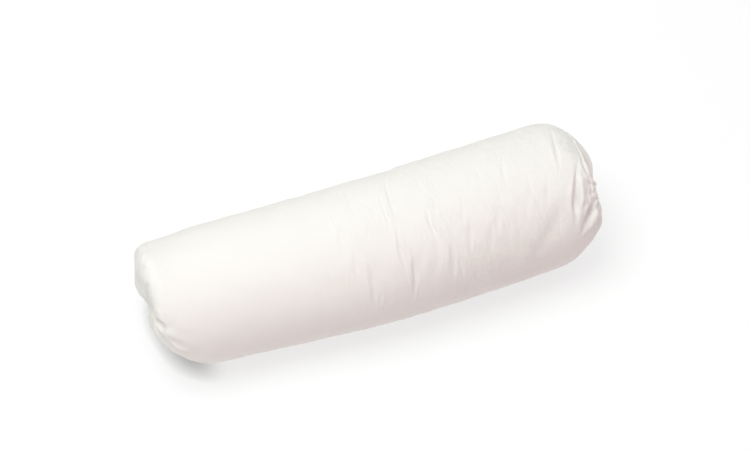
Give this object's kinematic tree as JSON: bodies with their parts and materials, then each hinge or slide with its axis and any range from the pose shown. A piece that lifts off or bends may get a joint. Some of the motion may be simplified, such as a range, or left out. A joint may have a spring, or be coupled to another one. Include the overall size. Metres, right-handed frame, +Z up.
{
  "type": "positioning roll pillow",
  "caption": "Firmly filled white cotton roll with drawn-in, pleated ends, laid under or beside a limb, the neck or the back to hold it in position.",
  "frame": {"origin": "middle of the bounding box, on the surface that the roll lies on", "axes": "+X along the roll, from its blunter end to its rounder one; +Z up; -Y towards the creased side that the picture shows"},
  "size_m": [0.4978, 0.1632, 0.1463],
  "materials": {
    "cotton": "matte, fine plain weave"
  },
  "bodies": {
    "root": {"filled_roll": "cotton"}
  },
  "joints": []
}
